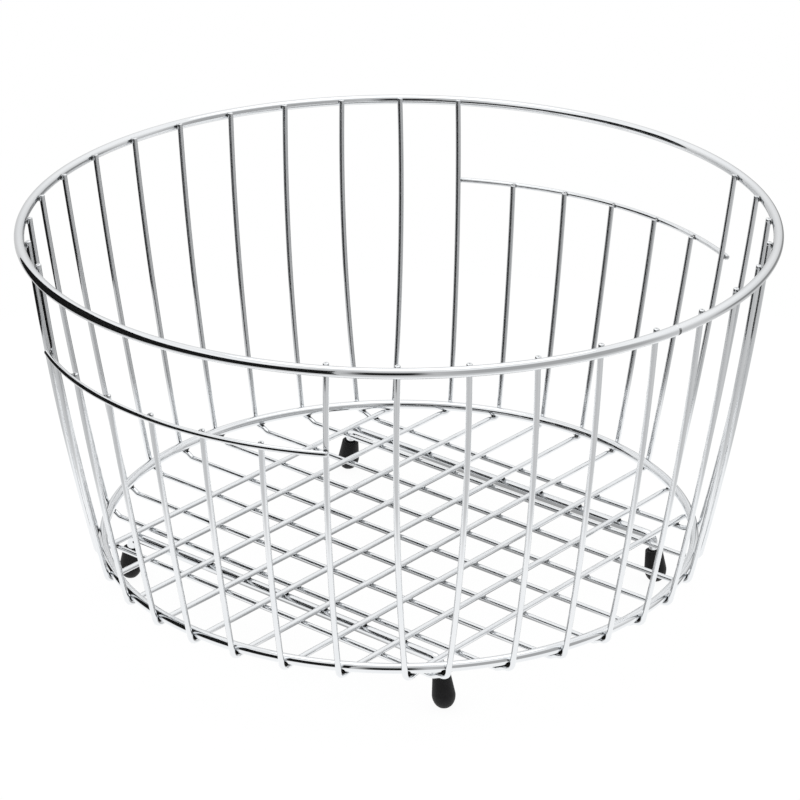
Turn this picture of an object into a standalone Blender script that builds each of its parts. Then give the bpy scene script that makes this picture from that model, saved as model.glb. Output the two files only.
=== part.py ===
"""Round welded wire basket that stands in a sink on four capped feet.

Metres, +Z up. The origin is on the floor under the middle of the basket. The handle openings face
-X and +X, and the foot rails run along Y. Every wire is one solid, kept a hair apart from the wires
that it is welded to.
"""
import math

import bpy
import numpy as np

# Rings
rim_radius = 0.1845
rim_wire = 0.0050
rim_height = 0.1969
ring_radius = 0.1500
ring_wire = 0.0050
ring_height = 0.0314

# Thin wires that make the ribs and the mesh of the base
thin_wire = 0.0028
wires_each_way = 9
rib_angle = math.radians(10.0)
rib_bow = 0.0025
tip_rise = 0.0022
mesh_pitch_share = 0.1693
mesh_rise = 0.0010
bend_run_share = 0.22

# Handle openings: the middle ribs stop at a lower arc
short_ribs_each_side = 2
arc_height_share = 0.740
arc_end_past = 0.0014
arc_tip_rise = 0.0012

# Foot rails and rubber feet
rail_wire = 0.0050
rail_place_share = 0.570
rail_reach_share = 0.679
rail_shift = 0.0042
elbow_radius = 0.0045
splay = math.radians(7.5)
bare_leg = 0.0033
cap_top_wall = 0.0016
cap_wide_radius = 0.0057
cap_wide_share = 0.63
cap_sole_share = 0.15
leg_depth_share = 0.62
merge_distance = 0.00001

# Pieces that touch keep this gap
weld_gap = 0.0003

# Looks
chrome_colour = (0.80, 0.81, 0.82)
chrome_roughness = 0.08
rubber_colour = (0.012, 0.012, 0.012)
rubber_roughness = 0.55

# Fineness of the round shapes
ring_steps = 72
rib_steps = 5
bend_steps = 4
level_steps = 4
elbow_steps = 5
arc_steps = 18
cap_steps = 20
cap_round_steps = 6
thin_resolution = 2
thick_resolution = 3

# Sizes that follow from the ones above
mesh_pitch = ring_radius * mesh_pitch_share
hook_radius = ring_wire / 2 + weld_gap + thin_wire / 2
rib_top_radius = rim_radius - rim_wire / 2 - weld_gap - thin_wire / 2
rib_foot_radius = ring_radius + hook_radius
hook_height = ring_height - hook_radius
upper_wire_height = hook_height + mesh_rise
lower_wire_height = upper_wire_height - thin_wire - weld_gap
rail_height = upper_wire_height - thin_wire / 2 - weld_gap - rail_wire / 2
arc_height = ring_height + (rim_height - ring_height) * arc_height_share
outer_wire = (wires_each_way - 1) // 2


def clear_scene():
    """Remove every object that the scene already holds."""
    for old in list(bpy.data.objects):
        bpy.data.objects.remove(old, do_unlink=True)


def new_collection(name):
    """Return a new collection, linked to the scene."""
    made = bpy.data.collections.new(name)
    bpy.context.scene.collection.children.link(made)
    return made


def new_material(name, colour, metallic, roughness):
    """Return a Principled material of one colour."""
    made = bpy.data.materials.new(name)
    made.use_nodes = True
    shader = made.node_tree.nodes["Principled BSDF"]
    shader.inputs["Base Color"].default_value = (*colour, 1.0)
    shader.inputs["Metallic"].default_value = metallic
    shader.inputs["Roughness"].default_value = roughness
    return made


def wire_object(name, points, diameter, resolution, closed, home):
    """Return a round wire whose axis runs through the points."""
    curve = bpy.data.curves.new(name, "CURVE")
    curve.dimensions = "3D"
    curve.bevel_depth = diameter / 2
    curve.bevel_resolution = resolution
    curve.use_fill_caps = True
    line = curve.splines.new("POLY")
    line.points.add(len(points) - 1)
    with_weight = np.column_stack([points, np.ones(len(points))])
    line.points.foreach_set("co", with_weight.ravel())
    line.use_cyclic_u = closed
    line.use_smooth = True
    curve.materials.append(new_material(name + "_chrome", chrome_colour, 1.0, chrome_roughness))
    made = bpy.data.objects.new(name, curve)
    home.objects.link(made)
    return made


def circle_points(radius, height, start, end, steps):
    """Return points of a level arc round the Z axis."""
    angle = np.linspace(start, end, steps)
    return np.column_stack([radius * np.cos(angle), radius * np.sin(angle), np.full(steps, height)])


def bend_points(before, corner, after, radius, steps):
    """Return points that round off the corner between two straight runs."""
    to_before = (before - corner) / np.linalg.norm(before - corner)
    to_after = (after - corner) / np.linalg.norm(after - corner)
    half_angle = math.acos(float(np.clip(to_before @ to_after, -1.0, 1.0))) / 2
    middle = (to_before + to_after) / np.linalg.norm(to_before + to_after)
    centre = corner + middle * radius / math.sin(half_angle)
    first = corner + to_before * radius / math.tan(half_angle) - centre
    last = corner + to_after * radius / math.tan(half_angle) - centre
    turn = math.pi - 2 * half_angle
    share = np.linspace(0.0, 1.0, steps)[:, None]
    return centre + (np.sin((1 - share) * turn) * first + np.sin(share * turn) * last) / math.sin(turn)


def rib_radius(height):
    """Return how far a rib's axis is from the Z axis: a straight slope with a slight outward bow."""
    down = (rim_height - height) / (rim_height - ring_height)
    return rib_top_radius + (rib_foot_radius - rib_top_radius) * down + rib_bow * 4 * down * (1 - down)


def rib_across(number, height):
    """Return how far a rib's axis is from the plane that halves its row of ribs."""
    down = np.clip((rim_height - height) / (rim_height - ring_height), 0.0, 1.0)
    across_top = rib_top_radius * math.sin(number * rib_angle)
    return across_top + (number * mesh_pitch - across_top) * down


def rib_points(number, height):
    """Return the points of a rib's axis, on the +Y side, at the given heights."""
    across = rib_across(number, height)
    return np.column_stack([across, np.sqrt(rib_radius(height) ** 2 - across ** 2), height])


def level_points(number, start, base_height):
    """Return the short bend that takes a wire from its hook up or down to its layer, close to the ring."""
    under_ring = math.sqrt(ring_radius ** 2 - (number * mesh_pitch) ** 2)
    end = max(under_ring - mesh_pitch * bend_run_share, outer_wire * mesh_pitch)
    share = np.linspace(0.0, 1.0, level_steps + 1)[1:]
    along = start[1] + (end - start[1]) * share
    height = start[2] + (base_height - start[2]) * (1 - np.cos(share * math.pi)) / 2
    return np.column_stack([np.full(level_steps, start[0]), along, height])


def half_wire(number, top, base_height):
    """Return half of a U-shaped wire: its rib, its bend round the bottom ring, and its bend to its layer."""
    rib = rib_points(number, np.linspace(top, ring_height + hook_radius, rib_steps))
    foot = rib_points(number, np.array([ring_height]))[0]
    slope = (foot - rib[-1]) / (ring_height - rib[-1][2])
    corner = rib[-1] + slope * (hook_height - rib[-1][2])
    inward = corner + np.array([0.0, -mesh_pitch, 0.0])
    hook = bend_points(rib[-1], corner, inward, hook_radius, bend_steps)
    return np.concatenate([rib, hook, level_points(number, hook[-1], base_height)])


def u_wire(number, top, base_height):
    """Return the axis of a whole U-shaped wire that crosses the base along Y."""
    half = half_wire(number, top, base_height)
    return np.concatenate([half, half[::-1] * np.array([1.0, -1.0, 1.0])])


def make_wires(home):
    """Make both layers of U-shaped wires; the upper layer's middle wires end at the handle arcs."""
    full_top = rim_height + tip_rise
    short_top = arc_height + arc_tip_rise
    for place in range(wires_each_way):
        number = outer_wire - place
        lower = u_wire(number, full_top, lower_wire_height)
        wire_object("lower_wire_%d" % (place + 1), lower, thin_wire, thin_resolution, False, home)
        top = short_top if abs(number) <= short_ribs_each_side else full_top
        upper = u_wire(number, top, upper_wire_height)[:, [1, 0, 2]]
        wire_object("upper_wire_%d" % (place + 1), upper, thin_wire, thin_resolution, False, home)


def make_rings(home):
    """Make the rim and the bottom ring."""
    turn = 2 * math.pi * (1 - 1 / ring_steps)
    rim = circle_points(rim_radius, rim_height, 0.0, turn, ring_steps)
    wire_object("rim_ring", rim, rim_wire, thick_resolution, True, home)
    ring = circle_points(ring_radius, ring_height, 0.0, turn, ring_steps)
    wire_object("bottom_ring", ring, ring_wire, thick_resolution, True, home)


def make_handle_arcs(home):
    """Make the wire along the lower edge of each handle opening, outside the ribs that it holds."""
    inner = rib_radius(arc_height)
    radius = inner + thin_wire + weld_gap
    last_rib = rib_across(short_ribs_each_side + 1, arc_height)
    reach = math.asin(last_rib / inner) + arc_end_past / radius
    for name, middle in (("handle_arc_right", 0.0), ("handle_arc_left", math.pi)):
        arc = circle_points(radius, arc_height, middle - reach, middle + reach, arc_steps)
        wire_object(name, arc, thin_wire, thin_resolution, False, home)


def cap_outline(length):
    """Return a foot cap's outline as (radius, height) pairs, from the bore's floor round to the sole."""
    bore = rail_wire / 2 + weld_gap
    depth = length * leg_depth_share + weld_gap
    wide = length * cap_wide_share
    sole = cap_wide_radius * cap_sole_share
    below = (length + sole * math.sin(splay) + weld_gap) / math.cos(splay)
    outline = [(0.0, -depth), (bore, -depth), (bore, 0.0), (bore + cap_top_wall, 0.0)]
    for step in range(cap_round_steps):
        angle = math.pi / 2 * step / (cap_round_steps - 1)
        radius = sole + (cap_wide_radius - sole) * math.cos(angle)
        outline.append((radius, -wide - (below - wide) * math.sin(angle)))
    outline.append((0.0, -below))
    return outline


def floor_cutter(name, place, cutters):
    """Return a block whose top is the floor, to cut a cap level where it stands."""
    depth = rail_height
    bpy.ops.mesh.primitive_cube_add(size=1.0, location=(place[0], place[1], -depth / 2))
    cutter = bpy.context.object
    cutter.name = name
    cutter.scale = (depth * 2, depth * 2, depth)
    for holder in list(cutter.users_collection):
        holder.objects.unlink(cutter)
    cutters.objects.link(cutter)
    cutter.hide_render = True
    cutter.display_type = "WIRE"
    return cutter


def make_foot(name, top, side, cutters, home):
    """Make one push-on cap: a turned cup that leans with the leg, cut level where it stands."""
    outline = cap_outline(top[2])
    edges = [(i, i + 1) for i in range(len(outline) - 1)]
    mesh = bpy.data.meshes.new(name)
    mesh.from_pydata([(radius, 0.0, height) for radius, height in outline], edges, [])
    mesh.materials.append(new_material(name + "_rubber", rubber_colour, 0.0, rubber_roughness))
    cap = bpy.data.objects.new(name, mesh)
    home.objects.link(cap)
    cap.location = top
    cap.rotation_euler = (side * splay, 0.0, 0.0)
    spin = cap.modifiers.new("turn", "SCREW")
    spin.steps = cap_steps
    spin.render_steps = cap_steps
    spin.use_merge_vertices = True
    spin.merge_threshold = merge_distance
    spin.use_smooth_shade = True
    level = cap.modifiers.new("level_sole", "BOOLEAN")
    level.operation = "DIFFERENCE"
    level.solver = "EXACT"
    level.object = floor_cutter(name + "_floor_cutter", top, cutters)


def make_rails_and_feet(cutters, home):
    """Make the two rods under the base, bent down at their ends, and the cap on each end."""
    reach = ring_radius * rail_reach_share
    down_leg = np.array([0.0, math.sin(splay), -math.cos(splay)])
    shift = np.array([0.0, rail_shift, 0.0])
    for rail_name, side in (("left", -1), ("right", 1)):
        across = side * ring_radius * rail_place_share
        corner = np.array([across, reach, rail_height])
        middle = np.array([across, 0.0, rail_height])
        bend = bend_points(middle, corner, corner + down_leg * rail_height, elbow_radius, elbow_steps)
        cap_top = bend[-1] + down_leg * bare_leg
        leg_end = cap_top + down_leg * cap_top[2] * leg_depth_share
        half = np.concatenate([bend, [leg_end]])
        rail = np.concatenate([half[::-1], half * np.array([1.0, -1.0, 1.0])]) + shift
        wire_object("foot_rail_" + rail_name, rail, rail_wire, thick_resolution, False, home)
        for foot_name, end_side in (("front", -1), ("back", 1)):
            top = cap_top * np.array([1.0, end_side, 1.0]) + shift
            make_foot("foot_%s_%s" % (foot_name, rail_name), top, end_side, cutters, home)


def main():
    """Build the whole basket."""
    clear_scene()
    home = new_collection("wire_sink_basket")
    cutters = new_collection("cutters")
    make_rings(home)
    make_wires(home)
    make_handle_arcs(home)
    make_rails_and_feet(cutters, home)


main()
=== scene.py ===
"""Looks of a round chrome wire basket that stands in a sink on four rubber feet.

Metres, +Z up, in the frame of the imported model: the origin is on the floor under the middle of the
basket, the handle openings face -X and +X, and the foot rails run along Y. Every wire is a tube
carried along the axis that its CAD node has, with rounded cut ends, weld beads and plated steel.
"""

import logging
import math
from dataclasses import dataclass
from enum import Enum

import bpy
import numpy as np
from mathutils import Matrix, Vector


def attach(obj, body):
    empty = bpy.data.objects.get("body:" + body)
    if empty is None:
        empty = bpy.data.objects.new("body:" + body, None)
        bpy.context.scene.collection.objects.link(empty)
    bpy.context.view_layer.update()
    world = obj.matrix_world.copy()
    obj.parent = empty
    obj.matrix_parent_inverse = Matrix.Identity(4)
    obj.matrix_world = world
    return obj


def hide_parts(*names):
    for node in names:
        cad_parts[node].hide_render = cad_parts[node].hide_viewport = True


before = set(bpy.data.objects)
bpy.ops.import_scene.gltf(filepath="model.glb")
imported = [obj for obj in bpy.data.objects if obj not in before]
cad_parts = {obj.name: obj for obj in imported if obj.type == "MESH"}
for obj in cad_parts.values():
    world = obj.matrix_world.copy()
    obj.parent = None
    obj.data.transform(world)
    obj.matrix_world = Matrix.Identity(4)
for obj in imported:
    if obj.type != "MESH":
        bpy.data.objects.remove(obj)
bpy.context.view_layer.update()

log = logging.getLogger("wire_basket")

# Directions
rightward = np.array([1.0, 0.0, 0.0])
backward = np.array([0.0, 1.0, 0.0])
upward = np.array([0.0, 0.0, 1.0])
level_part = np.array([1.0, 1.0, 0.0])
mirror_y = np.array([1.0, -1.0, 1.0])


class Layer(Enum):
    """Which of the two layers of the base mesh a wire belongs to."""

    LOWER = "lower"
    UPPER = "upper"


class Side(Enum):
    """Left or right of the basket, as the sign of X."""

    LEFT = -1
    RIGHT = 1


class End(Enum):
    """Front or back of the basket, as the sign of Y."""

    FRONT = -1
    BACK = 1


# Small tools for arrays and nodes


def unit(vectors: np.ndarray) -> np.ndarray:
    """Return each vector divided by its own length."""
    return vectors / np.linalg.norm(vectors, axis=-1, keepdims=True)


def linear_colour(code: str) -> tuple[float, float, float, float]:
    """Turn an sRGB hex value into a linear colour.

    Args:
        code: six hex digits, red first.

    Returns:
        Red, green, blue and an alpha of one. Each channel c becomes ((c + 0.055) / 1.055) ** 2.4,
        or c / 12.92 below 0.04045.
    """
    channels = np.array([int(code[place:place + 2], 16) / 255 for place in (0, 2, 4)])
    bright = ((channels + 0.055) / 1.055) ** 2.4
    red, green, blue = np.where(channels <= 0.04045, channels / 12.92, bright).tolist()
    return red, green, blue, 1.0


def add_node(tree: bpy.types.NodeTree, kind: str, inputs: dict | None = None, stops: list | None = None,
             **settings: object) -> bpy.types.Node:
    """Add a node, set it up and link it.

    Args:
        tree: the node tree that gets the node.
        kind: Blender's name of the node type, without ShaderNode before it.
        inputs: what each input socket gets, by name or number: a value, a hex colour, another node's
            socket, or another node, which gives it its first output.
        stops: for a colour ramp, its (position, hex colour) pairs.
        settings: the node's own properties.

    Returns:
        The new node.
    """
    made = tree.nodes.new("ShaderNode" + kind)
    for name, value in settings.items():
        setattr(made, name, value)
    for place, (position, code) in enumerate(stops or []):
        ramp = made.color_ramp.elements
        stop = ramp[place] if place < 2 else ramp.new(position)
        stop.position = position
        stop.color = linear_colour(code)
    for socket, value in (inputs or {}).items():
        source = value.outputs[0] if isinstance(value, bpy.types.Node) else value
        if isinstance(source, bpy.types.NodeSocket):
            tree.links.new(source, made.inputs[socket])
        else:
            made.inputs[socket].default_value = linear_colour(value) if isinstance(value, str) else value
    return made


def empty_tree(owner: bpy.types.Material | bpy.types.World) -> bpy.types.NodeTree:
    """Give a material or world an empty node tree.

    Args:
        owner: the material or world.

    Returns:
        Its node tree.
    """
    owner.use_nodes = True
    owner.node_tree.nodes.clear()
    return owner.node_tree


def placed(name: str, data: bpy.types.ID) -> bpy.types.Object:
    """Make an object at the origin and link it to the scene.

    Args:
        name: its name.
        data: its mesh, light or camera.

    Returns:
        The object.
    """
    made = bpy.data.objects.new(name, data)
    bpy.context.scene.collection.objects.link(made)
    return made


# Meshes from arrays


@dataclass
class Surface:
    """Points and faces of one piece, with values that its material reads at each point."""

    points: np.ndarray
    quads: np.ndarray
    triangles: np.ndarray
    drawn: np.ndarray
    heat: np.ndarray

    def piece(self, name: str) -> bpy.types.Object:
        """Make a smooth Blender object of the surface, at the origin.

        Args:
            name: the piece's name.

        Returns:
            The object, with the point attributes drawn and weld_heat_and_painted_shade.
        """
        mesh = bpy.data.meshes.new(name)
        mesh.from_pydata(self.points.tolist(), [], self.quads.tolist() + self.triangles.tolist())
        mesh.attributes.new("drawn", "FLOAT_VECTOR", "POINT").data.foreach_set("vector", self.drawn.ravel())
        # The heat value: weld marks, and at the bottom ring's hooks painted shade
        mesh.attributes.new("weld_heat_and_painted_shade", "FLOAT", "POINT").data.foreach_set("value", self.heat)
        mesh.shade_smooth()
        mesh.update()
        return placed(name, mesh)


def grid_faces(rows: int, columns: int, closed: bool) -> np.ndarray:
    """Return the quads of a grid that wraps round in its columns, facing outwards.

    Args:
        rows: how many rings of points follow each other along the shape.
        columns: how many points go round it.
        closed: whether the last ring joins the first.

    Returns:
        Point numbers: (i, j), (i, j + 1), (i + 1, j + 1), (i + 1, j) for every ring i and column j.
    """
    row = np.arange(rows if closed else rows - 1)[:, None] * columns
    after = (row + columns) % (rows * columns)
    column = np.arange(columns)
    beside = (column + 1) % columns
    return np.stack([row + column, row + beside, after + beside, after + column], axis=-1).reshape(-1, 4)


def capped_faces(rows: int, columns: int, reverse: bool) -> tuple[np.ndarray, np.ndarray]:
    """Return the faces of a grid that a point closes at each end, the two numbered after the grid's.

    Args:
        rows: how many rings of points follow each other along the shape.
        columns: how many points go round it.
        reverse: whether the rings follow each other against the way that the points turn round.

    Returns:
        The grid's quads, and the triangles of both ends: (end point, j, j + 1) of the nearest ring.
    """
    count = rows * columns
    last = count - columns
    column = np.arange(columns)
    beside = (column + 1) % columns
    start_fan = np.stack([np.full(columns, count), beside, column], axis=-1)
    end_fan = np.stack([np.full(columns, count + 1), last + column, last + beside], axis=-1)
    quads = grid_faces(rows, columns, False)
    fans = np.concatenate([start_fan, end_fan])
    return (quads[:, ::-1], fans[:, ::-1]) if reverse else (quads, fans)


def path_lengths(path: np.ndarray) -> np.ndarray:
    """Return how far along a path each of its points is."""
    return np.concatenate([[0.0], np.cumsum(np.linalg.norm(np.diff(path, axis=0), axis=1))])


def at_lengths(path: np.ndarray, lengths: np.ndarray) -> np.ndarray:
    """Return the points of a path at the given distances along it."""
    along = path_lengths(path)
    return np.column_stack([np.interp(lengths, along, path[:, axis]) for axis in range(3)])


def nearest_weld(points: np.ndarray, welds: np.ndarray) -> np.ndarray:
    """Return each point's distance to the nearest weld."""
    apart = points[:, None, :] - welds[None, :, :]
    return np.sqrt((apart ** 2).sum(axis=-1).min(axis=1))


@dataclass(frozen=True)
class Drawing:
    """How finely wire is turned into a tube, and how far a weld's heat tint reaches along it."""

    sides: int = 20
    plain_step: float = 0.0045
    weld_step: float = 0.0009
    weld_zone: float = 0.0030
    turn_step: float = math.radians(7.0)
    tint_reach: float = 0.0018
    cut_heat: float = 0.6
    read_step: float = 0.0003
    edge_steps: int = 4

    @property
    def angles(self) -> np.ndarray:
        """The angles of the points round the wire."""
        return np.linspace(0.0, 2 * math.pi, self.sides, endpoint=False)

    def stations(self, path: np.ndarray, welds: np.ndarray, start: float, end: float) -> np.ndarray:
        """Choose where along a path the rings of a tube go.

        The rings are even steps of the running sum of length / plain_step + turn / turn_step +
        length * exp(-(distance to weld / weld_zone) ** 2) / weld_step, so they crowd at bends and welds.

        Args:
            path: points of the axis.
            welds: weld places.
            start: how far along the path the first ring is.
            end: how far along the path the last ring is.

        Returns:
            The distance along the path of each ring.
        """
        lengths = np.linspace(start, end, int((end - start) / self.read_step) + 2)
        points = at_lengths(path, lengths)
        heading = unit(np.diff(points, axis=0))
        turn = np.zeros(len(lengths) - 1)
        turn[1:] = np.linalg.norm(np.diff(heading, axis=0), axis=1)
        step = np.diff(lengths)
        near = np.exp(-(nearest_weld(points[1:], welds) / self.weld_zone) ** 2)
        amount = step / self.plain_step + turn / self.turn_step + step * near / self.weld_step
        total = np.concatenate([[0.0], np.cumsum(amount)])
        return np.interp(np.linspace(0.0, total[-1], int(total[-1]) + 2), total, lengths)

    def rings(self, axis: np.ndarray, radii: np.ndarray, across: np.ndarray, closed: bool) -> np.ndarray:
        """Carry a circle along an axis.

        A point is axis(s) + radius(s) * (cos(a) * side(s) + sin(a) * up(s)), where side is across made
        square to the axis and up is square to both.

        Args:
            axis: the axis points.
            radii: the radius at each of them.
            across: a direction that is never along the axis.
            closed: whether the axis is a loop.

        Returns:
            The points, as rings by sides by 3.
        """
        if closed:
            heading = unit(np.roll(axis, -1, axis=0) - np.roll(axis, 1, axis=0))
        else:
            heading = unit(np.gradient(axis, path_lengths(axis), axis=0))
        square = across - (heading * across).sum(axis=1, keepdims=True) * heading
        side = unit(square)[:, None, :]
        up = np.cross(heading, unit(square))[:, None, :]
        angle = self.angles[None, :, None]
        return axis[:, None, :] + radii[:, None, None] * (np.cos(angle) * side + np.sin(angle) * up)

    def coordinates(self, lengths: np.ndarray, radii: np.ndarray) -> np.ndarray:
        """Return, for each point of a tube, the place it had when the wire was still straight.

        Args:
            lengths: how far along the wire each ring is.
            radii: each ring's radius.

        Returns:
            (s, radius * cos(a), radius * sin(a)), so a pattern on it has no seam round the wire.
        """
        along = np.broadcast_to(lengths[:, None], (len(lengths), self.sides))
        across = radii[:, None] * np.cos(self.angles)
        up = radii[:, None] * np.sin(self.angles)
        return np.stack([along, across, up], axis=-1).reshape(-1, 3)

    def tint(self, points: np.ndarray, welds: np.ndarray) -> np.ndarray:
        """Return how strongly a weld's heat has marked each point: exp(-(distance / tint_reach) ** 2)."""
        # Near the welds under the bottom ring this dark mark is also painted shade
        return np.exp(-(nearest_weld(points, welds) / self.tint_reach) ** 2)

    def open_wire(self, path: np.ndarray, diameter: float, across: np.ndarray, welds: np.ndarray,
                  edge: float) -> Surface:
        """Make a wire with two cut ends whose edges are rounded.

        At an end the radius follows radius - edge * (1 - cos(t)) over a length of edge * sin(t), with
        t from 0 to a right angle, and one point in the middle closes the flat cut.

        Args:
            path: points of the axis from cut to cut.
            diameter: the wire's diameter.
            across: a direction that is never along the axis.
            welds: weld places.
            edge: how large the rounding of the cut edge is.

        Returns:
            The closed surface.
        """
        radius = diameter / 2
        length = path_lengths(path)[-1]
        places = self.stations(path, welds, edge, length - edge)
        axis = at_lengths(path, places)
        turn = np.linspace(0.0, math.pi / 2, self.edge_steps + 1)[1:]
        out = edge * np.sin(turn)
        narrow = radius - edge * (1 - np.cos(turn))
        start = axis[0] + out[::-1, None] * unit(axis[0] - axis[1])
        end = axis[-1] + out[:, None] * unit(axis[-1] - axis[-2])
        full_axis = np.concatenate([start, axis, end])
        radii = np.concatenate([narrow[::-1], np.full(len(axis), radius), narrow])
        lengths = path_lengths(full_axis)
        rings = self.rings(full_axis, radii, across, False).reshape(-1, 3)
        points = np.concatenate([rings, full_axis[:1], full_axis[-1:]])
        poles = lengths[[0, -1], None] * rightward
        drawn = np.concatenate([self.coordinates(lengths, radii), poles])
        heat = self.tint(points, welds)
        heat[-2:] = self.cut_heat
        quads, fans = capped_faces(len(full_axis), self.sides, False)
        return Surface(points, quads, fans, drawn, heat)

    def ring_wire(self, path: np.ndarray, diameter: float, across: np.ndarray,
                  welds: np.ndarray) -> Surface:
        """Make a wire that is bent and welded into a loop.

        Args:
            path: points of the axis, once round, with the first repeated at the end.
            diameter: the wire's diameter.
            across: a direction that is never along the axis.
            welds: weld places.

        Returns:
            The closed surface.
        """
        places = self.stations(path, welds, 0.0, path_lengths(path)[-1])[:-1]
        axis = at_lengths(path, places)
        radii = np.full(len(axis), diameter / 2)
        points = self.rings(axis, radii, across, True).reshape(-1, 3)
        faces = grid_faces(len(axis), self.sides, True)
        no_fans = np.zeros((0, 3), int)
        return Surface(points, faces, no_fans, self.coordinates(places, radii), self.tint(points, welds))


# Sizes of the basket


@dataclass(frozen=True)
class BasketSizes:
    """Every size of the basket, as the CAD part has it, and the axes that follow from them."""

    rim_radius: float = 0.1845
    rim_wire: float = 0.0050
    rim_height: float = 0.1969
    ring_radius: float = 0.1500
    ring_wire: float = 0.0050
    ring_height: float = 0.0314
    thin_wire: float = 0.0028
    wires_each_way: int = 9
    rib_angle: float = math.radians(10.0)
    rib_bow: float = 0.0025
    tip_rise: float = 0.0022
    arc_tip_rise: float = 0.0012
    mesh_pitch_share: float = 0.1693
    mesh_rise: float = 0.0010
    bend_run_share: float = 0.22
    short_ribs_each_side: int = 2
    arc_height_share: float = 0.740
    arc_end_past: float = 0.0014
    rail_wire: float = 0.0050
    rail_place_share: float = 0.570
    rail_reach_share: float = 0.679
    rail_shift: float = 0.0042
    elbow_radius: float = 0.0045
    splay: float = math.radians(7.5)
    bare_leg: float = 0.0033
    weld_gap: float = 0.0003

    @property
    def mesh_pitch(self) -> float:
        """How far apart the wires of the base mesh are."""
        return self.ring_radius * self.mesh_pitch_share

    @property
    def hook_radius(self) -> float:
        """How far a rib's axis passes from the bottom ring's axis where it bends round it."""
        return self.ring_wire / 2 + self.weld_gap + self.thin_wire / 2

    @property
    def rib_top_radius(self) -> float:
        """How far a rib's axis is from the basket's axis at the rim."""
        return self.rim_radius - self.rim_wire / 2 - self.weld_gap - self.thin_wire / 2

    @property
    def hook_height(self) -> float:
        """Height at which a wire passes under the bottom ring."""
        return self.ring_height - self.hook_radius

    @property
    def upper_wire_height(self) -> float:
        """Height of the upper layer of the base mesh."""
        return self.hook_height + self.mesh_rise

    @property
    def lower_wire_height(self) -> float:
        """Height of the lower layer of the base mesh."""
        return self.upper_wire_height - self.thin_wire - self.weld_gap

    @property
    def rail_height(self) -> float:
        """Height of the foot rails' axes."""
        return self.upper_wire_height - self.thin_wire / 2 - self.weld_gap - self.rail_wire / 2

    @property
    def arc_height(self) -> float:
        """Height of the handle arcs."""
        return self.ring_height + (self.rim_height - self.ring_height) * self.arc_height_share

    @property
    def outer_wire(self) -> int:
        """Number of the outermost wire, counted from the middle one."""
        return (self.wires_each_way - 1) // 2

    @property
    def rail_across(self) -> float:
        """How far each foot rail is from the middle plane."""
        return self.ring_radius * self.rail_place_share

    def wire_numbers(self) -> np.ndarray:
        """Return the wires' numbers, from the outermost positive one down."""
        return self.outer_wire - np.arange(self.wires_each_way)

    def rib_radius(self, height: float | np.ndarray) -> float | np.ndarray:
        """Return how far a rib's axis is from the basket's axis.

        Args:
            height: one or more heights above the floor.

        Returns:
            A straight slope from the rim to the foot, plus 4 * bow * d * (1 - d), with d the share of
            the way down.
        """
        down = (self.rim_height - height) / (self.rim_height - self.ring_height)
        slope = self.rib_top_radius + (self.ring_radius + self.hook_radius - self.rib_top_radius) * down
        return slope + self.rib_bow * 4 * down * (1 - down)

    def rib_across(self, number: int, height: float | np.ndarray) -> float | np.ndarray:
        """Return how far a rib's axis is from the plane that halves its row of ribs.

        Args:
            number: the rib's number from the middle of its row.
            height: one or more heights above the floor.

        Returns:
            The distance, straight from the even angle at the rim to the even mesh pitch at the foot.
        """
        down = np.clip((self.rim_height - height) / (self.rim_height - self.ring_height), 0.0, 1.0)
        at_top = self.rib_top_radius * math.sin(number * self.rib_angle)
        return at_top + (number * self.mesh_pitch - at_top) * down

    def rib_points(self, number: int, height: float | np.ndarray) -> np.ndarray:
        """Return points of a rib's axis on the +Y side at the given heights."""
        across = self.rib_across(number, height)
        return np.column_stack([across, np.sqrt(self.rib_radius(height) ** 2 - across ** 2), height])

    def is_short(self, layer: Layer, number: int) -> bool:
        """Tell whether a wire's two ribs end at the handle arcs."""
        return layer is Layer.UPPER and abs(number) <= self.short_ribs_each_side


def round_corner(before: np.ndarray, corner: np.ndarray, after: np.ndarray, radius: float,
                 steps: int) -> np.ndarray:
    """Round off the corner between two straight runs.

    The arc is centre + (sin((1 - t) * turn) * first + sin(t * turn) * last) / sin(turn), with t from
    0 to 1, and first and last the arms from its centre to where it meets the runs.

    Args:
        before: a point on the first run.
        corner: where the runs would meet.
        after: a point on the second run.
        radius: the bend's radius at the wire's axis.
        steps: how many points.

    Returns:
        The points of the bend.
    """
    to_before = unit(before - corner)
    to_after = unit(after - corner)
    half_angle = math.acos(float(np.clip(to_before @ to_after, -1.0, 1.0))) / 2
    centre = corner + unit(to_before + to_after) * radius / math.sin(half_angle)
    first = corner + to_before * radius / math.tan(half_angle) - centre
    last = corner + to_after * radius / math.tan(half_angle) - centre
    turn = math.pi - 2 * half_angle
    share = np.linspace(0.0, 1.0, steps)[:, None]
    return centre + (np.sin((1 - share) * turn) * first + np.sin(share * turn) * last) / math.sin(turn)


def level_arc(radius: float, height: float, start: float, end: float, steps: int) -> np.ndarray:
    """Return points of a level arc round the basket's axis, at even angles from start to end."""
    angle = np.linspace(start, end, steps)
    return np.column_stack([radius * np.cos(angle), radius * np.sin(angle), np.full(steps, height)])


# Finishes


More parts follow.
